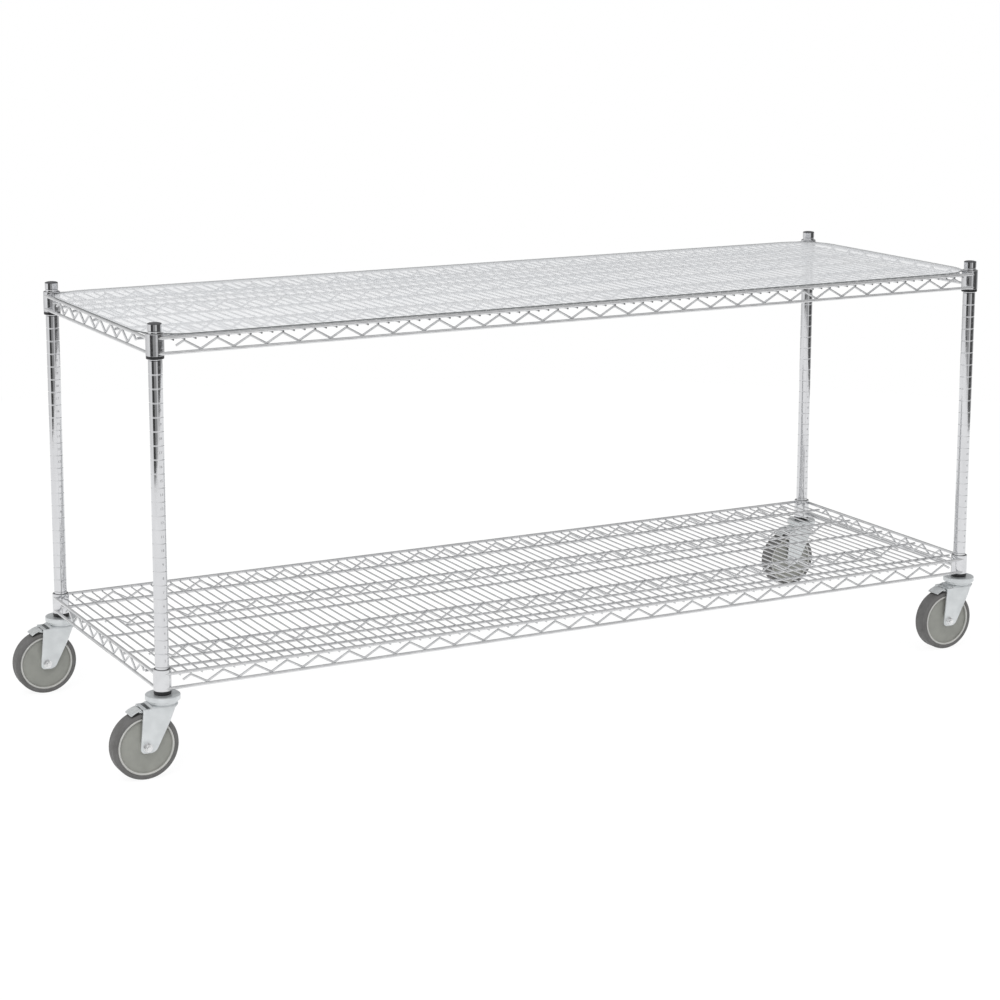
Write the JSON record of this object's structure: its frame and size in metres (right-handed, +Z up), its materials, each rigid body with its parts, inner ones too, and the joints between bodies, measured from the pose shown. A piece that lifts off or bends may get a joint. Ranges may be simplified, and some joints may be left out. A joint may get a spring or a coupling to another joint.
{
  "type": "wire shelf cart",
  "caption": "Long, low two-shelf chrome wire cart: grooved posts, welded truss-edged shelves, a frosted liner on the top shelf and braked swivel casters.",
  "frame": {"origin": "on the floor, under the middle of the cart's outer box", "axes": "+X along the cart, away from the side its wheels trail to at rest; +Y to the rear long side; +Z up"},
  "size_m": [1.9286, 0.6408, 0.828],
  "materials": {
    "post_chrome": "bright chrome-plated tube",
    "shelf_chrome": "bright chrome-plated wire",
    "cap_plastic": "moulded dark grey plastic",
    "sleeve_plastic": "moulded black plastic, slightly glossy",
    "liner_plastic": "frosted translucent sheet",
    "zinc_steel": "bright zinc-plated pressing",
    "hardware_steel": "zinc-plated fastener",
    "bearing_steel": "polished bearing balls",
    "hub_plastic": "smooth grey moulded hub",
    "tread_rubber": "dark grey non-marking rubber",
    "pad_rubber": "black rubber"
  },
  "bodies": {
    "frame": {"front_left_post": "post_chrome", "front_right_post": "post_chrome", "rear_left_post": "post_chrome", "rear_right_post": "post_chrome", "post_caps": "cap_plastic", "stem_inserts": "zinc_steel", "caster_stems": "zinc_steel", "swivel_caps": "zinc_steel", "swivel_balls": "bearing_steel", "upper_sleeves": "sleeve_plastic", "upper_collars": "shelf_chrome", "upper_rim_wires": "shelf_chrome", "upper_rim_zigzags": "shelf_chrome", "upper_brace_zigzags": "shelf_chrome", "upper_runners": "shelf_chrome", "upper_deck_wires": "shelf_chrome", "lower_sleeves": "sleeve_plastic", "lower_collars": "shelf_chrome", "lower_rim_wires": "shelf_chrome", "lower_rim_zigzags": "shelf_chrome", "lower_brace_zigzags": "shelf_chrome", "lower_runners": "shelf_chrome", "lower_deck_wires": "shelf_chrome", "shelf_liner": "liner_plastic"},
    "front_left_swivel": {"front_left_fork": "zinc_steel", "front_left_axle_bolt": "hardware_steel", "front_left_axle_nut": "hardware_steel", "front_left_axle_sleeve": "hardware_steel", "front_left_brake_pin": "hardware_steel"},
    "front_left_wheel": {"front_left_hub": "hub_plastic", "front_left_tyre": "tread_rubber"},
    "front_left_brake": {"front_left_brake_pedal": "zinc_steel", "front_left_brake_pad": "pad_rubber"},
    "front_right_swivel": {"front_right_fork": "zinc_steel", "front_right_axle_bolt": "hardware_steel", "front_right_axle_nut": "hardware_steel", "front_right_axle_sleeve": "hardware_steel", "front_right_brake_pin": "hardware_steel"},
    "front_right_wheel": {"front_right_hub": "hub_plastic", "front_right_tyre": "tread_rubber"},
    "front_right_brake": {"front_right_brake_pedal": "zinc_steel", "front_right_brake_pad": "pad_rubber"},
    "rear_left_swivel": {"rear_left_fork": "zinc_steel", "rear_left_axle_bolt": "hardware_steel", "rear_left_axle_nut": "hardware_steel", "rear_left_axle_sleeve": "hardware_steel", "rear_left_brake_pin": "hardware_steel"},
    "rear_left_wheel": {"rear_left_hub": "hub_plastic", "rear_left_tyre": "tread_rubber"},
    "rear_left_brake": {"rear_left_brake_pedal": "zinc_steel", "rear_left_brake_pad": "pad_rubber"},
    "rear_right_swivel": {"rear_right_fork": "zinc_steel", "rear_right_axle_bolt": "hardware_steel", "rear_right_axle_nut": "hardware_steel", "rear_right_axle_sleeve": "hardware_steel", "rear_right_brake_pin": "hardware_steel"},
    "rear_right_wheel": {"rear_right_hub": "hub_plastic", "rear_right_tyre": "tread_rubber"},
    "rear_right_brake": {"rear_right_brake_pedal": "zinc_steel", "rear_right_brake_pad": "pad_rubber"}
  },
  "joints": [
    {"name": "front_left_swivel_turn", "type": "hinge", "parent": "frame", "child": "front_left_swivel", "pos_m": [-0.86375, -0.2885, 0.1425], "axis": [0, 0, 1], "continuous": true},
    {"name": "front_left_wheel_roll", "type": "hinge", "parent": "front_left_swivel", "child": "front_left_wheel", "pos_m": [-0.90175, -0.2885, 0.0625], "axis": [0, 1, 0], "continuous": true},
    {"name": "front_left_brake_press", "type": "hinge", "parent": "front_left_swivel", "child": "front_left_brake", "pos_m": [-0.90375, -0.2885, 0.128], "axis": [0, -1, 0], "range_deg": [0, 4.2]},
    {"name": "front_right_swivel_turn", "type": "hinge", "parent": "frame", "child": "front_right_swivel", "pos_m": [0.93225, -0.2885, 0.1425], "axis": [0, 0, 1], "continuous": true},
    {"name": "front_right_wheel_roll", "type": "hinge", "parent": "front_right_swivel", "child": "front_right_wheel", "pos_m": [0.89425, -0.2885, 0.0625], "axis": [0, 1, 0], "continuous": true},
    {"name": "front_right_brake_press", "type": "hinge", "parent": "front_right_swivel", "child": "front_right_brake", "pos_m": [0.89225, -0.2885, 0.128], "axis": [0, -1, 0], "range_deg": [0, 4.2]},
    {"name": "rear_left_swivel_turn", "type": "hinge", "parent": "frame", "child": "rear_left_swivel", "pos_m": [-0.86375, 0.2885, 0.1425], "axis": [0, 0, 1], "continuous": true},
    {"name": "rear_left_wheel_roll", "type": "hinge", "parent": "rear_left_swivel", "child": "rear_left_wheel", "pos_m": [-0.90175, 0.2885, 0.0625], "axis": [0, 1, 0], "continuous": true},
    {"name": "rear_left_brake_press", "type": "hinge", "parent": "rear_left_swivel", "child": "rear_left_brake", "pos_m": [-0.90375, 0.2885, 0.128], "axis": [0, -1, 0], "range_deg": [0, 4.2]},
    {"name": "rear_right_swivel_turn", "type": "hinge", "parent": "frame", "child": "rear_right_swivel", "pos_m": [0.93225, 0.2885, 0.1425], "axis": [0, 0, 1], "continuous": true},
    {"name": "rear_right_wheel_roll", "type": "hinge", "parent": "rear_right_swivel", "child": "rear_right_wheel", "pos_m": [0.89425, 0.2885, 0.0625], "axis": [0, 1, 0], "continuous": true},
    {"name": "rear_right_brake_press", "type": "hinge", "parent": "rear_right_swivel", "child": "rear_right_brake", "pos_m": [0.89225, 0.2885, 0.128], "axis": [0, -1, 0], "range_deg": [0, 4.2]}
  ]
}
